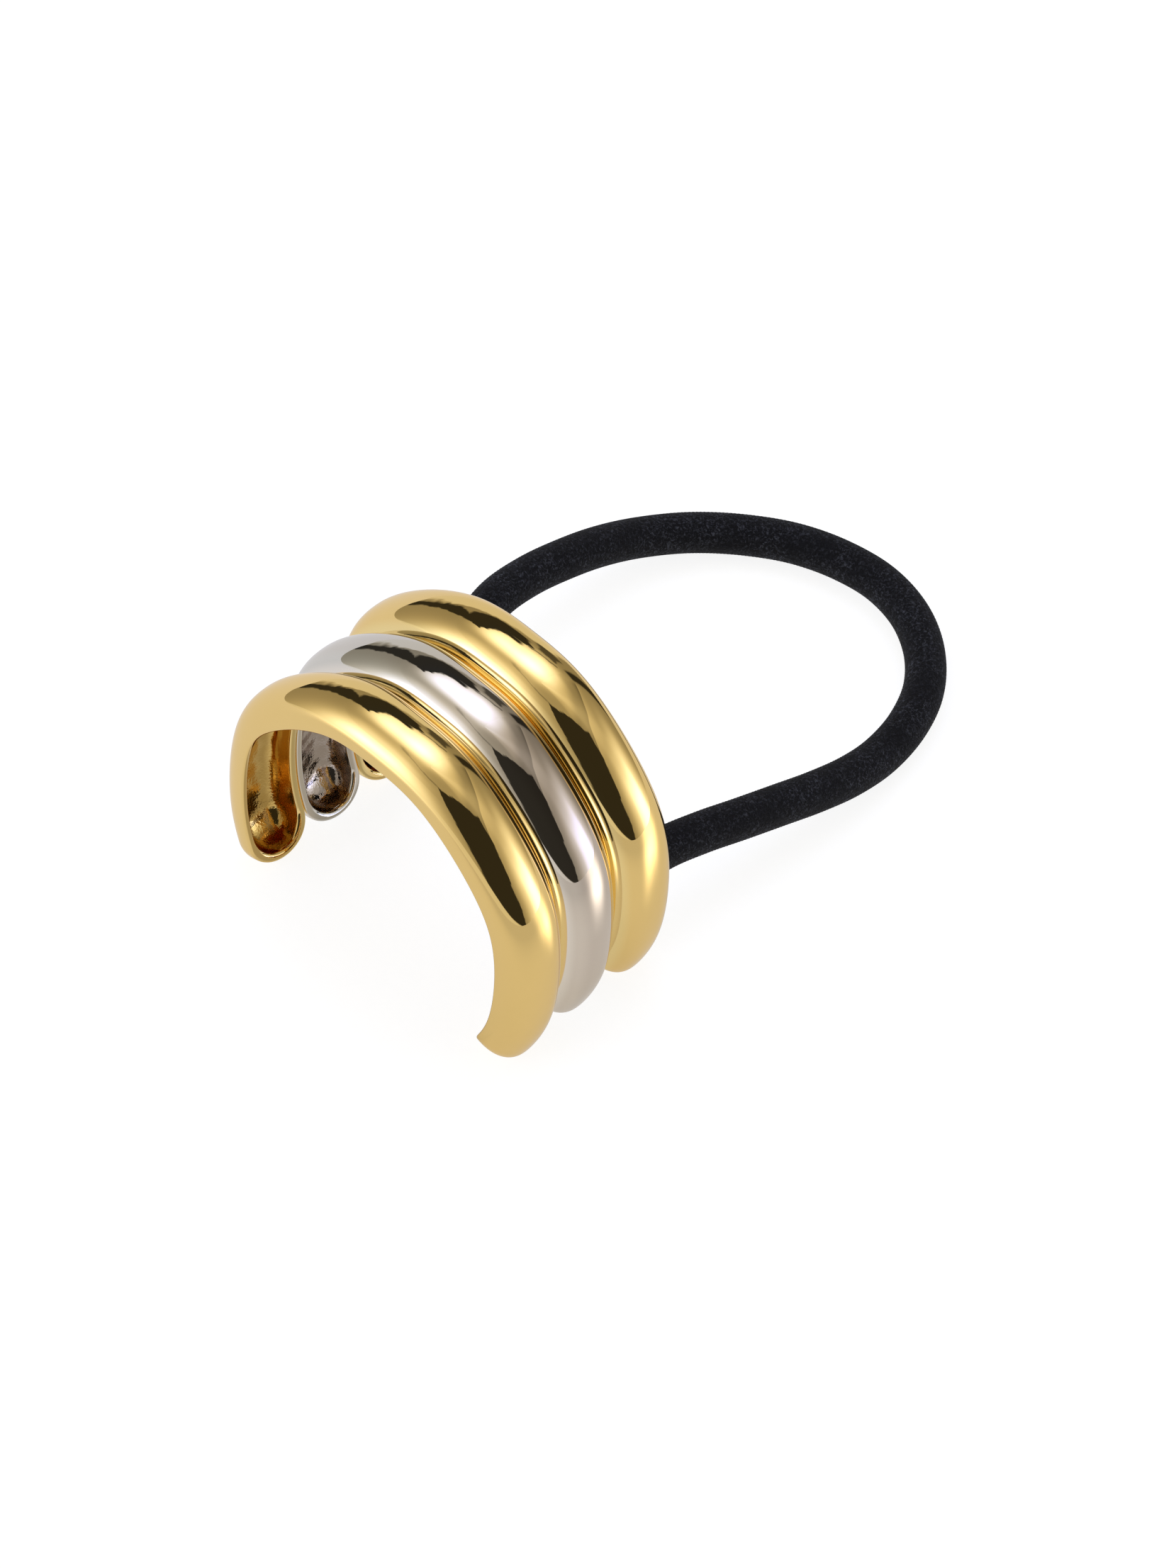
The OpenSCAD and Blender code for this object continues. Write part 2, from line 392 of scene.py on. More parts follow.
# Half width, in degrees, over which an edge of the tent's cloth is soft
SOFT = 1.2


class Nodes:
    """Short calls that add nodes to a node tree and link them."""

    def __init__(self, tree):
        self.tree = tree

    def add(self, kind, inputs=None, **settings):
        node = self.tree.nodes.new(kind)
        for key, value in settings.items():
            setattr(node, key, value)
        for key, value in (inputs or {}).items():
            self.put(node.inputs[key], value)
        return node

    def put(self, socket, value):
        if isinstance(value, bpy.types.NodeSocket):
            self.tree.links.new(value, socket)
        else:
            socket.default_value = value

    def coords(self, kind="Object"):
        return self.add("ShaderNodeTexCoord").outputs[kind]

    def split(self, vector):
        return self.add("ShaderNodeSeparateXYZ", {"Vector": vector}).outputs

    def noise(self, vector, scale, detail, **more):
        inputs = {"Vector": vector, "Scale": scale, "Detail": detail, **more}
        return self.add("ShaderNodeTexNoise", inputs).outputs

    def ramp(self, value, low, high, start=0.0, end=1.0):
        """From start at low to end at high, straight between and level beyond."""
        inputs = {"Value": value, "From Min": low, "From Max": high, "To Min": start, "To Max": end}
        return self.add("ShaderNodeMapRange", inputs).outputs["Result"]

    def step(self, value, low, high):
        """0 below low, 1 above high, smooth between."""
        node = self.add("ShaderNodeMapRange", {"Value": value, "From Min": low, "From Max": high},
                        interpolation_type="SMOOTHSTEP")
        return node.outputs["Result"]

    def mix(self, factor, a, b):
        node = self.add("ShaderNodeMix", data_type="RGBA")
        self.put(node.inputs[0], factor)
        self.put(node.inputs[6], a)
        self.put(node.inputs[7], b)
        return node.outputs[2]

    def bump(self, shader, height, strength, distance):
        node = self.add("ShaderNodeBump", {"Height": height, "Strength": strength, "Distance": distance})
        self.put(shader.inputs["Normal"], node.outputs["Normal"])

    def math(self, operation, *values):
        node = self.add("ShaderNodeMath", operation=operation)
        for socket, value in zip(node.inputs, values):
            self.put(socket, value)
        return node.outputs[0]

    def total(self, *values):
        return reduce(lambda a, b: self.math("ADD", a, b), values)

    def product(self, *values):
        return reduce(lambda a, b: self.math("MULTIPLY", a, b), values)

    def union(self, *values):
        return reduce(lambda a, b: self.math("MAXIMUM", a, b), values)

    def line(self, value, slope, offset):
        return self.math("MULTIPLY_ADD", value, slope, offset)

    def rest(self, share):
        return self.math("SUBTRACT", 1.0, share)

    def blend(self, share, a, b):
        """The number a where the share is 0, b where it is 1."""
        return self.total(self.product(a, self.rest(share)), self.product(b, share))

    def over(self, value, edge):
        """How far the value is over the edge, and else 0."""
        return self.math("MAXIMUM", self.math("SUBTRACT", value, edge), 0.0)

    def bend_over(self, value, corner, slope, level):
        """The level where the value is under the corner, and a slope over it."""
        return self.line(self.over(value, corner), slope, level)

    def bend_under(self, value, corner, slope, level):
        """The level where the value is over the corner, and a slope under it."""
        return self.line(self.over(self.math("MULTIPLY", value, -1.0), -corner), slope, level)

    def above(self, value, edge, soft=SOFT):
        return self.step(self.math("SUBTRACT", value, edge), -soft, soft)

    def below(self, value, edge, soft=SOFT):
        return self.rest(self.above(value, edge, soft))

    def inside(self, value, low, high, soft=SOFT):
        return self.product(self.step(value, low - soft, low + soft),
                            self.rest(self.step(value, high - soft, high + soft)))

    def bell(self, value, centre, width, power=2):
        """1 at the centre, 1/e at the width on both sides of it, and squarer with a higher power."""
        off = self.math("ABSOLUTE", self.line(value, 1 / width, -centre / width))
        return self.math("EXPONENT", self.math("MULTIPLY", self.math("POWER", off, power), -1.0))

    def bow(self, value, centre, width, top, drop):
        """An arc that is at the top over the centre, and lower by drop at the width on both sides of it."""
        off = self.math("ABSOLUTE", self.line(value, 1 / width, -centre / width))
        return self.line(self.math("POWER", off, 2.0), -drop, top)

    def fade(self, value, low, high, share):
        """1 below low, less by the share above high."""
        return self.line(self.step(value, low, high), -share, 1.0)


# ---------------------------------------------------------------- materials

GOLD, GOLD_WARM, GOLD_EDGE = (0.945, 0.678, 0.264, 1), (0.915, 0.657, 0.249, 1), (1.0, 0.95, 0.86, 1)
SILVER, SILVER_WARM, SILVER_EDGE = (0.76, 0.68, 0.58, 1), (0.74, 0.65, 0.55, 1), (1.0, 0.99, 0.97, 1)
# The silver's colour for the left end is painted light: the cooler light that falls there
SILVER_PAINTED_COOL_LIGHT, SILVER_FLANK = (0.71, 0.685, 0.62, 1), (0.58, 0.49, 0.415, 1)
# The seam colours are painted light: brighter, for the light that bounces between the ribs' walls
GOLD_PAINTED_SEAM_LIGHT, SILVER_PAINTED_SEAM_LIGHT = (0.985, 0.775, 0.35, 1), (0.90, 0.835, 0.735, 1)
# The skins' colours are darker than the polish, partly painted shade of the hollows; the deep ones are painted shade
# at the bottom of the tips
GOLD_SKIN, GOLD_SKIN_WARM, GOLD_DEEP_SHADE = (0.80, 0.555, 0.19, 1), (0.70, 0.455, 0.125, 1), (0.62, 0.33, 0.06, 1)
SILVER_SKIN, SILVER_SKIN_WARM, SILVER_DEEP_SHADE = (0.64, 0.57, 0.52, 1), (0.56, 0.48, 0.42, 1), (0.36, 0.30, 0.27, 1)
KNIT_DARK, KNIT_LIGHT = (0.0055, 0.0055, 0.007, 1), (0.085, 0.09, 0.11, 1)

# The silver's cooler tone on the left, painted cooler light, ends between these places
PAINTED_COOL_LIGHT_ENDS = (-0.012, 0.004)
# Its flank starts and is full at these places towards the right, up and towards the rear. To the left and low down
# it has the given share.
FLANK_RIGHT, FLANK_UP, FLANK_REAR = (0.003, 0.009, 0.3), (0.016, 0.028, 0.4), (-0.0025, -0.0008)
# Distances from a seam's middle over which its brighter colour, painted light, ends, and over which its mattness
# does, with how much that adds to the roughness
PAINTED_SEAM_LIGHT_ENDS, MATT_ENDS, MATT = (0.0003, 0.0014), (0.00005, 0.0006), 0.05
# The skin's deep tone, painted shade low in the hollows, starts and is full at these heights, and at these
# distances from the arch's middle
DEEP_SHADE_HEIGHTS, DEEP_SHADE_REACH = (0.0065, 0.0025), (0.0190, 0.0174)
# Its grain gets coarser downwards between these heights: its shares of the relief, and the cloudiness's
COARSE_HEIGHTS, COARSE_SHARES, CLOUD_SHARE = (0.016, 0.006), (0.02, 0.19), 0.05
# Ends of the polish's grain and of the skin's cloudiness, and the roughness that they stand for
POLISH_GRAIN, POLISH_ROUGH, SKIN_CLOUD, SKIN_ROUGH = (0.35, 0.7), (0.015, 0.035), (0.3, 0.7), (0.05, 0.10)
# Ends of the noise of the knit's fluff, and of the patches in which it shows
FLUFF_ENDS, PATCH_ENDS = (0.46, 0.76), (0.1, 0.75)


def new_material(name):
    material = bpy.data.materials.new(name)
    material.use_nodes = True
    nodes = Nodes(material.node_tree)
    shader = material.node_tree.nodes["Principled BSDF"]
    return material, nodes, shader


def polished(name, colour, warm, edge, bright, left=None, flank=None):
    """Mirror-polished plate: a little cloudiness, a fine grain and faint unevenness of the polish."""
    material, nodes, shader = new_material(name)
    coords = nodes.coords()
    cloud = nodes.noise(coords, scale=260.0, detail=3.0)["Fac"]
    grain = nodes.noise(coords, scale=2600.0, detail=4.0)["Fac"]
    wave = nodes.noise(coords, scale=190.0, detail=2.0)["Fac"]
    base = nodes.mix(cloud, colour, warm)
    x, y, z = nodes.split(coords)
    if flank:
        # Cooler on the left, painted cooler light, and the plate is greyer over its top and rear side, most so on
        # the right
        base = nodes.mix(nodes.step(x, *PAINTED_COOL_LIGHT_ENDS), left, base)
        share = nodes.product(nodes.step(y, *FLANK_REAR), nodes.ramp(x, *FLANK_RIGHT), nodes.ramp(z, *FLANK_UP))
        base = nodes.mix(share, base, flank)
    # In the seams the colour is brighter, painted light from the bounces between their walls, and less well polished
    seam = nodes.math("ABSOLUTE", nodes.math("SUBTRACT", nodes.math("ABSOLUTE", y), RIB_PITCH / 2 * MM))
    nodes.put(shader.inputs["Base Color"], nodes.mix(nodes.step(seam, *PAINTED_SEAM_LIGHT_ENDS), bright, base))
    shader.inputs["Metallic"].default_value = 1.0
    shader.inputs["Specular Tint"].default_value = edge
    rough = nodes.ramp(grain, *POLISH_GRAIN, *POLISH_ROUGH)
    matt = nodes.line(nodes.step(seam, *MATT_ENDS), -MATT, MATT)
    nodes.put(shader.inputs["Roughness"], nodes.total(rough, matt))
    nodes.bump(shader, wave, strength=0.25, distance=0.00006)
    return material


def cast_skin(name, colour, warm, deep):
    """The plated cast skin inside: bright, with a grain, a darker colour that is partly painted shade, and painted
    shade deepest at the bottom of the tips.
    """
    material, nodes, shader = new_material(name)
    coords = nodes.coords()
    cloud = nodes.noise(coords, scale=700.0, detail=1.0)["Fac"]
    grain = nodes.noise(coords, scale=3600.0, detail=2.0)["Fac"]
    x, _, z = nodes.split(coords)
    # Painted shade: the colour turns deep low down, near the bottoms of the tips
    low = nodes.ramp(z, *DEEP_SHADE_HEIGHTS)
    near = nodes.ramp(nodes.math("ABSOLUTE", x), *DEEP_SHADE_REACH)
    nodes.put(shader.inputs["Base Color"],
              nodes.mix(nodes.product(low, near), nodes.mix(cloud, colour, warm), deep))
    shader.inputs["Metallic"].default_value = 1.0
    nodes.put(shader.inputs["Roughness"], nodes.ramp(cloud, *SKIN_CLOUD, *SKIN_ROUGH))
    coarse = nodes.ramp(z, *COARSE_HEIGHTS, *COARSE_SHARES)
    height = nodes.line(grain, coarse, nodes.product(cloud, CLOUD_SHARE))
    nodes.bump(shader, height, strength=1.0, distance=0.00013)
    return material


def knit(name):
    """Black knitted cover: fluff that catches the light, more in some places than in others."""
    material, nodes, shader = new_material(name)
    coords = nodes.coords()
    fluff = nodes.noise(coords, scale=3500.0, detail=3.0, Roughness=0.6, Distortion=0.8)["Fac"]
    patch = nodes.noise(coords, scale=300.0, detail=2.0)["Fac"]
    light = nodes.product(nodes.step(fluff, *FLUFF_ENDS), nodes.step(patch, *PATCH_ENDS))
    nodes.put(shader.inputs["Base Color"], nodes.mix(light, KNIT_DARK, KNIT_LIGHT))
    shader.inputs["Roughness"].default_value = 0.95
    shader.inputs["Specular IOR Level"].default_value = 0.25
    shader.inputs["Sheen Weight"].default_value = 0.04
    shader.inputs["Sheen Roughness"].default_value = 0.4
    nodes.bump(shader, fluff, strength=1.0, distance=0.0002)
    return material


gold_outer = polished("gold_polished", GOLD, GOLD_WARM, GOLD_EDGE, GOLD_PAINTED_SEAM_LIGHT)
silver_outer = polished("silver_polished", SILVER, SILVER_WARM, SILVER_EDGE, SILVER_PAINTED_SEAM_LIGHT, SILVER_PAINTED_COOL_LIGHT, SILVER_FLANK)
gold_inner = cast_skin("gold_cast_skin", GOLD_SKIN, GOLD_SKIN_WARM, GOLD_DEEP_SHADE)
silver_inner = cast_skin("silver_cast_skin", SILVER_SKIN, SILVER_SKIN_WARM, SILVER_DEEP_SHADE)
for node, rib in ribs.items():
    for material in (silver_outer, silver_inner) if node == "middle_rib" else (gold_outer, gold_inner):
        rib.data.materials.append(material)
for node in ("left_staple", "right_staple"):
    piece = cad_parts[node]
    piece.data.materials.clear()
    piece.data.materials.append(gold_outer)
elastic.data.materials.append(knit("black_knit"))

# ---------------------------------------------------------------- floor

# The studio as the metal mirrors it, against the white that the camera sees
DIM = 1 / 1.5
# Radii, in metres, of the floor that the object stands on and its shadow falls on, of the plain white beyond it,
# and of the floor that the metal mirrors. Their middle is under the middle of the object.
FLOOR_NEAR, FLOOR_FAR, FLOOR_MIRRORED = 0.085, 4.0, 0.20
FLOOR_SIDES, FLOOR_MIDDLE_Y = 96, 0.03
# Heights of the mirrored floor and of the shade, just over the floor
MIRROR_LIFT, SHADE_LIFT = 1e-5, 3e-5
# Colour of the white paper, and by how much its fibres dim its glow
PAPER, FIBRE_SHARE = (0.30, 0.30, 0.295, 1), 0.02
# Glow of the floor that the metal mirrors, of the one that the camera sees, and of the white beyond
FLOOR_GLOW, WHITE_GLOW, FAR_GLOW = 0.76, 0.88, 1.06
# A soft light that stands near the object also lights the floor before it: the azimuth and place (in metres) that
# its patch on the floor spreads from, how bright it is, how wide (in degrees), and where it starts and is full
PATCHES = [(124, (0.020, 0.0), 3.3, 12, 0.014, 0.052), (-29, (-0.005, -0.010), 1.0, 20, 0.08, 0.18)]
# Towards the dark opening, on the right at the front, the floor gets less light: how that way leans to the front,
# where the loss starts and is full, and its share
LOSS_LEAN, LOSS = -0.36, (0.040, 0.095, 0.24)
# The light on the floor is a little cooler on the left, and turns warmer between these places
COOL_ENDS, COOL, WARM = (-0.04, 0.04), (1.13, 1.13, 1.19, 1), (1.05, 1.02, 0.97, 1)
# Under the arch the floor lies in shade. The card that stands for it is seen in the metal alone: its half sizes
# without and with its soft edge, and its brightness in the middle.
SHADE_IN, SHADE_OUT, SHADE_LEVEL, SHADE_TONE = (0.010, 0.007), (0.0175, 0.016), 0.38, (1.0, 0.92, 0.80, 1)


def floor_piece(name, inner, outer, height, material):
    """A disc, or a ring where the inner radius isn't 0."""
    ring = np.arange(FLOOR_SIDES) * 2 * np.pi / FLOOR_SIDES
    circle = np.stack([np.cos(ring), np.sin(ring), np.zeros(FLOOR_SIDES)], 1)
    if inner:
        points = np.vstack([circle * inner, circle * outer])
        nexts = [(i + 1) % FLOOR_SIDES for i in range(FLOOR_SIDES)]
        faces = [(i, j, j + FLOOR_SIDES, i + FLOOR_SIDES) for i, j in enumerate(nexts)]
    else:
        points, faces = circle * outer, [tuple(range(FLOOR_SIDES))]
    mesh = bpy.data.meshes.new(name)
    mesh.from_pydata((points + (0, FLOOR_MIDDLE_Y, height)).tolist(), [], faces)
    mesh.materials.append(material)
    made = bpy.data.objects.new(name, mesh)
    scene.collection.objects.link(made)
    return made


def paper(name, colour):
    """White paper: a dull white that also glows, as if lit from below, so that hardly a shadow shows."""
    material, nodes, shader = new_material(name)
    shader.inputs["Base Color"].default_value = colour
    shader.inputs["Roughness"].default_value = 0.6
    shader.inputs["Specular IOR Level"].default_value = 0.0
    coords = nodes.coords()
    fibre = nodes.product(nodes.noise(coords, scale=900.0, detail=3.0)["Fac"], FIBRE_SHARE)
    return material, nodes, shader, coords, fibre


def mirrored_glow(nodes, x, y):
    """Brightness of the mirrored floor: an even glow, and the patches that the soft lights throw on it."""
    m = nodes.math
    glow = FLOOR_GLOW * DIM
    for azimuth, (from_x, from_y), bright, width, start, full in PATCHES:
        dx, dy = m("SUBTRACT", x, from_x), m("SUBTRACT", y, from_y)
        a = math.radians(azimuth)
        ahead = nodes.total(m("MULTIPLY", dx, math.sin(a)), m("MULTIPLY", dy, -math.cos(a)))
        across = nodes.total(m("MULTIPLY", dx, math.cos(a)), m("MULTIPLY", dy, math.sin(a)))
        beam = nodes.bell(m("ARCTAN2", across, ahead), 0.0, math.radians(width))
        far = m("SQRT", nodes.total(m("MULTIPLY", dx, dx), m("MULTIPLY", dy, dy)))
        glow = nodes.total(nodes.product(beam, nodes.step(far, start, full), bright * DIM), glow)
    return nodes.product(glow, nodes.fade(nodes.line(y, LOSS_LEAN, x), *LOSS))


def make_floor():
    """The floor that the camera sees, and the same floor as the metal mirrors it, with the light that lies on it."""
    # Farther out nothing shades the floor, so it glows alone there
    for name, inner, outer, colour, strength in (("floor", 0, FLOOR_NEAR, PAPER, WHITE_GLOW),
                                                 ("floor_far", FLOOR_NEAR, FLOOR_FAR, BLACK, FAR_GLOW)):
        material, nodes, shader, _, fibre = paper(name + "_white", colour)
        nodes.put(shader.inputs["Emission Color"], nodes.mix(fibre, WHITE, BLACK))
        shader.inputs["Emission Strength"].default_value = strength
        floor_piece(name, inner, outer, 0, material).visible_glossy = False

    material, nodes, shader, coords, fibre = paper("floor_mirrored", PAPER)
    x, y, _ = nodes.split(coords)
    tone = nodes.mix(nodes.step(x, *COOL_ENDS), COOL, WARM)
    nodes.put(shader.inputs["Emission Color"], nodes.mix(fibre, tone, BLACK))
    nodes.put(shader.inputs["Emission Strength"], mirrored_glow(nodes, x, y))
    mirrored = floor_piece("floor_mirrored", 0, FLOOR_MIRRORED, MIRROR_LIFT, material)
    mirrored.visible_camera = mirrored.visible_diffuse = mirrored.visible_shadow = False


def make_shade():
    """A card under the arch that darkens what the hollows mirror, as the shaded floor does."""
    material = bpy.data.materials.new("floor_shade")
    material.use_nodes = True
    material.node_tree.nodes.clear()
    nodes = Nodes(material.node_tree)
    xyz = nodes.split(nodes.coords())
    clear = nodes.union(*(nodes.step(nodes.math("ABSOLUTE", xyz[k]), SHADE_IN[k], SHADE_OUT[k]) for k in range(2)))
    glow = nodes.add("ShaderNodeEmission", {"Color": SHADE_TONE, "Strength": SHADE_LEVEL})
    through = nodes.add("ShaderNodeBsdfTransparent")
    mixed = nodes.add("ShaderNodeMixShader", {0: clear, 1: glow.outputs[0], 2: through.outputs[0]})
    nodes.add("ShaderNodeOutputMaterial", {"Surface": mixed.outputs[0]})
    x, y = SHADE_OUT
    mesh = bpy.data.meshes.new("floor_shade")
    mesh.from_pydata([(-x, -y, SHADE_LIFT), (x, -y, SHADE_LIFT), (x, y, SHADE_LIFT), (-x, y, SHADE_LIFT)], [],
                     [(0, 1, 2, 3)])
    mesh.materials.append(material)
    card = bpy.data.objects.new("floor_shade", mesh)
    scene.collection.objects.link(card)
    card.visible_camera = card.visible_diffuse = card.visible_shadow = False


make_floor()
make_shade()

# ---------------------------------------------------------------- light tent

# Azimuth 0 is before the cuff (-Y) and 90 is on its right (+X), elevations are over the floor, both in degrees.
# The left side of a thing is the one at the lower azimuth. A level of 1 is the white that the camera sees.

# How far the edges of the cloth waver
WAVER = 8.0
# Light before the cuff on the left: its azimuth, the scale and offset of its elevation, the radius of its bright
# core, the angle over which it fades, and its level
FRONT_AZIMUTH, FRONT_SCALE, FRONT_OFFSET, FRONT_CORE, FRONT_FADE, FRONT_LEVEL = -29.0, 0.65, -9.0, 5.0, 14.0, 5.0
# Elevations between which it gets dimmer, and by what share
FRONT_FADES = [(33.0, 38.0, 0.2), (46.0, 58.0, 0.3)]
# Light on the right, a narrow part and a wide one: azimuth, width and squareness, elevations between which it gets
# dimmer and by what share, and level
RIGHT_LIGHT = [((127, 10, 4), (6.0, 24.0, 0.97), 3.0), ((128, 20.8, 2), (14.0, 34.0, 0.84), 1.9)]
# Light over the cuff at the back: its direction, width and level
BACK_DIRECTION, BACK_WIDTH, BACK_LEVEL = (-140, 67), 17.0, 5.2
# The middles of the lights are cooler: beyond white, red and green rise by no more than this
RED_SPARE, GREEN_SPARE = 2.1, 2.7
# Walls: their tone, their level low down, and the two elevations between which it rises, and by how much
WALL_TONE, WALL_LEVEL, WALL_RISE = (1.05, 0.98, 0.82, 1), 0.42, (25.0, 60.0, 0.13)
# Behind on the right, between two azimuths with soft ends, they are darker half way up and brighter over that
BEHIND, BEHIND_RISES = (96.0, 190.0, 8.0), [(42.0, 52.0, -0.12), (51.0, 62.0, 0.28)]
# A brighter place behind the front light: its azimuths and elevations with soft ends, and what it adds
GLARE_SIDES, GLARE_HEIGHTS, GLARE = (-64.0, -36.0, 10.0), (34.0, 62.0, 10.0), 0.15
# A hem of the cloth, high before the cuff: its elevation, falling from an azimuth on, its azimuths with soft ends,
# its half width and the share of the light that it takes
HEM_HEIGHT, HEM_SIDES, HEM_WIDTH, HEM_DARK = (-35.0, -0.09, 67.0), (-70.0, 27.0, 14.0), 1.6, 0.6
# A fold in the cloth along a bow, dark over it and bright under it: the bow, its azimuths with soft ends, how fast
# the fold fades away from it, half the width of its edge, and what it takes over the bow and adds under it
FOLD_BOW, FOLD_SIDES, FOLD_FALL, FOLD_SOFT = (135.0, 40.0, 43.0, 12.0), (94.0, 172.0, 3.0), 0.15, 0.5
FOLD_DARK, FOLD_BRIGHT = 0.6, 0.2
# The camera's opening on the right: its left side, its right side, which leans outwards over an elevation, and its
# top, which slopes down from each of two azimuths on
OPENING_LEFT, OPENING_RIGHT = (26.0, 28.5), (19.0, 0.85, 90.5)
OPENING_TOP, OPENING_CORNERS, OPENING_SLOPE = 61.0, (74.0, 92.0), -0.3
# The opening on the left at the back: its sides, its top, which slopes down at the left end, and its bottom
REAR_SIDES, REAR_TOP, REAR_BOTTOM = (-152.0, -108.0), (-140.0, -0.7, 49.0), (26.0, 29.0)
# Its leg: the left side, which leans inwards under an elevation, the right side and the top
LEG_LEFT, LEG_RIGHT, LEG_TOP = (22.0, 0.22, -121.0), -107.0, 30.0
# A less dark opening and a fine line beside that, and the share of the light that both take
SMALL_SIDES, SMALL_HEIGHTS, SMALL_SHARE = (-169.0, -156.0), (17.0, 36.0), 0.8
LINE_SIDES, LINE_HEIGHT, LINE_WIDTH = (-172.0, -148.0), 43.0, 1.5
# A slit straight behind the cuff: its sides, its top, and how soft the top is
SLIT_SIDES, SLIT_TOP, SLIT_SOFT = (173.5, 177.0), 32.0, 3.0
DARK_LEVEL = 0.045
# A pale sheet that stands low on the left at the back: its sides, the bow of its top, softness and level
SHEET_SIDES, SHEET_BOW, SHEET_SOFT, SHEET_LEVEL = (-163.0, -118.0), (-142.0, 22.0, 25.0, 14.0), 2.0, 1.08
# The horizon falls from the middle to both sides with these slopes, between these elevations
HORIZON_SLOPES, HORIZON_LOW, HORIZON_HIGH, HORIZON_SOFT = [(-0.18, 6.0), (0.15, 2.0)], -10.0, 2.0, 0.8
# The two floor patches beyond the floor that is modelled: azimuth and width, and level
FAR_PATCHES = [((124, 12), 3.3), ((-29, 20), 1.9)]


def direction(azimuth, elevation):
    a, e = math.radians(azimuth), math.radians(elevation)
    return (math.cos(e) * math.sin(a), -math.cos(e) * math.cos(a), math.sin(e))


def tent_lights(n, ray, az, el):
    """Soft lights: before the cuff on the left, on its right, and over it at the back."""
    m = n.math
    u, v = n.line(az, 1.0, -FRONT_AZIMUTH), n.line(el, FRONT_SCALE, FRONT_OFFSET)
    r = m("SQRT", n.total(n.product(u, u), n.product(v, v), FRONT_CORE ** 2))
    front = n.product(m("EXPONENT", n.line(r, -1 / FRONT_FADE, FRONT_CORE / FRONT_FADE)), FRONT_LEVEL,
                      *(n.fade(el, *fade) for fade in FRONT_FADES))
    right = n.total(*(n.product(n.bell(az, *beam), n.fade(el, *fade), level) for beam, fade, level in RIGHT_LIGHT))
    dot = n.add("ShaderNodeVectorMath", {0: ray, 1: direction(*BACK_DIRECTION)}, operation="DOT_PRODUCT")
    turn = m("MULTIPLY", m("ARCCOSINE", m("MINIMUM", dot.outputs["Value"], 1.0)), math.degrees(1))
    back = n.product(n.bell(turn, 0.0, BACK_WIDTH), BACK_LEVEL)
    return n.total(front, right, back)


def tent_walls(n, az, el, el_w):
    """Pale walls and ceiling, with a hem and a fold in their cloth."""
    low, high, rise = WALL_RISE
    walls = n.line(n.step(el, low, high), rise, WALL_LEVEL)
    behind = n.inside(az, *BEHIND)
    for low, high, rise in BEHIND_RISES:
        walls = n.total(walls, n.product(behind, n.step(el, low, high), rise))
    walls = n.total(walls, n.product(n.inside(az, *GLARE_SIDES), n.inside(el, *GLARE_HEIGHTS), GLARE))
    from_hem = n.math("SUBTRACT", el_w, n.bend_over(az, *HEM_HEIGHT))
    hem = n.product(n.bell(from_hem, 0.0, HEM_WIDTH), n.inside(az, *HEM_SIDES))
    walls = n.product(walls, n.line(hem, -HEM_DARK, 1.0))
    from_fold = n.math("SUBTRACT", el, n.bow(az, *FOLD_BOW))
    fold = n.math("EXPONENT", n.product(n.math("ABSOLUTE", from_fold), -FOLD_FALL))
    fold = n.product(fold, n.inside(az, *FOLD_SIDES))
    over_fold = n.step(from_fold, -FOLD_SOFT, FOLD_SOFT)
    walls = n.product(walls, n.line(n.product(fold, over_fold), -FOLD_DARK, 1.0))
    return n.total(walls, n.product(fold, n.rest(over_fold), FOLD_BRIGHT))


def dark_openings(n, az, el, az_w, el_w):
    """Dark openings: the camera's on the right, one on the left at the back, and small ones beside that."""
    top = OPENING_TOP
    for corner in OPENING_CORNERS:
        top = n.bend_over(az_w, corner, OPENING_SLOPE, top)
    opening = n.product(n.step(az_w, *OPENING_LEFT), n.below(az_w, n.bend_over(el_w, *OPENING_RIGHT)),
                        n.below(el_w, top))
    rear = n.product(n.inside(az_w, *REAR_SIDES), n.below(el_w, n.bend_under(az_w, *REAR_TOP)),
                     n.step(el_w, *REAR_BOTTOM))
    leg = n.product(n.above(az_w, n.bend_under(el_w, *LEG_LEFT)), n.below(az_w, LEG_RIGHT), n.below(el_w, LEG_TOP))
    small = n.product(n.inside(az_w, *SMALL_SIDES), n.inside(el_w, *SMALL_HEIGHTS), SMALL_SHARE)
    fine_line = n.product(n.bell(el_w, LINE_HEIGHT, LINE_WIDTH), n.inside(az_w, *LINE_SIDES), SMALL_SHARE)
    slit = n.product(n.step(n.math("ABSOLUTE", az), *SLIT_SIDES), n.below(el, SLIT_TOP, SLIT_SOFT))
    return n.union(opening, rear, leg, small, fine_line, slit)


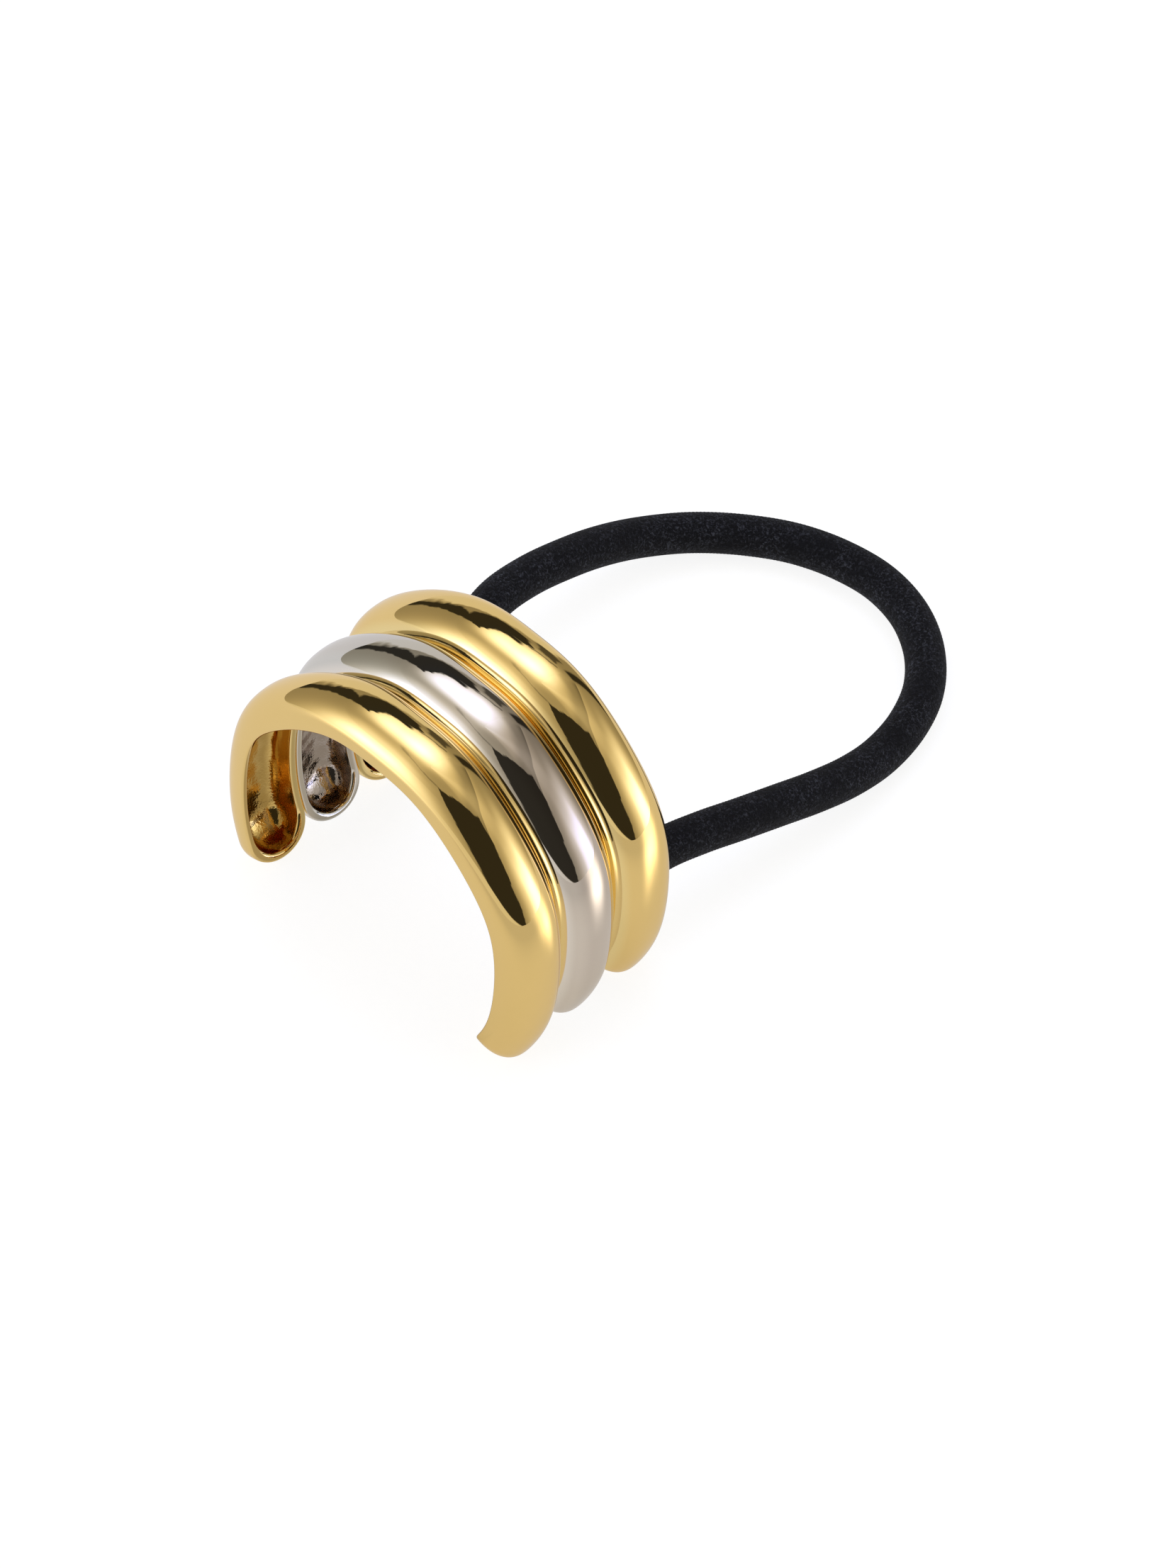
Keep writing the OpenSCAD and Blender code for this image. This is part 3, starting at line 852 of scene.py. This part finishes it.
def make_world():
    """A light tent: pale walls, three soft lights behind them, a pale sheet, and dark openings."""
    world = bpy.data.worlds.new("light_tent")
    scene.world = world
    world.use_nodes = True
    world.node_tree.nodes.clear()
    n = Nodes(world.node_tree)
    m = n.math
    ray = n.coords("Generated")
    x, y, z = n.split(ray)
    el = m("MULTIPLY", m("ARCSINE", z), math.degrees(1))
    az = m("MULTIPLY", m("ARCTAN2", x, m("MULTIPLY", y, -1.0)), math.degrees(1))
    wobble = n.split(n.noise(ray, scale=8.0, detail=2.5, Roughness=0.55)["Color"])
    el_w, az_w = (n.line(m("SUBTRACT", wobble[k], 0.5), WAVER, value) for k, value in enumerate((el, az)))

    lights = tent_lights(n, ray, az, el)
    walls = tent_walls(n, az, el, el_w)
    dark = dark_openings(n, az, el, az_w, el_w)
    sheet = n.product(n.inside(az_w, *SHEET_SIDES, SHEET_SOFT), n.below(el_w, n.bow(az, *SHEET_BOW), SHEET_SOFT))
    walls = n.blend(sheet, walls, SHEET_LEVEL)

    # The floor beyond the part that is modelled, below a horizon that dips where its edge is near
    horizon = m("MINIMUM", *(n.line(az, *slope) for slope in HORIZON_SLOPES))
    horizon = m("MAXIMUM", m("MINIMUM", horizon, HORIZON_HIGH), HORIZON_LOW)
    ground = n.below(el, horizon, HORIZON_SOFT)
    floor_level = n.total(*(n.product(n.bell(az, *beam), level) for beam, level in FAR_PATCHES), FAR_GLOW)

    level = n.blend(dark, n.total(walls, lights), DARK_LEVEL)
    level = n.blend(ground, level, floor_level)
    tint = n.mix(m("MINIMUM", n.total(lights, ground, sheet), 1.0), WALL_TONE, WHITE)
    colours = n.add("ShaderNodeCombineXYZ", {"Z": level})
    for axis, spare in (("X", RED_SPARE), ("Y", GREEN_SPARE)):
        rise = n.rest(m("EXPONENT", m("MULTIPLY", n.over(level, 1.0), -1 / spare)))
        n.put(colours.inputs[axis], n.line(rise, spare, m("MINIMUM", level, 1.0)))
    tinted = n.add("ShaderNodeVectorMath", {0: tint, 1: colours.outputs[0]}, operation="MULTIPLY")

    # The camera itself sees plain white
    seen = n.add("ShaderNodeLightPath").outputs["Is Camera Ray"]
    background = n.add("ShaderNodeBackground", {"Color": n.mix(seen, tinted.outputs[0], WHITE),
                                                "Strength": n.line(seen, 1 - DIM, DIM)})
    n.add("ShaderNodeOutputWorld", {"Surface": background.outputs[0]})


make_world()
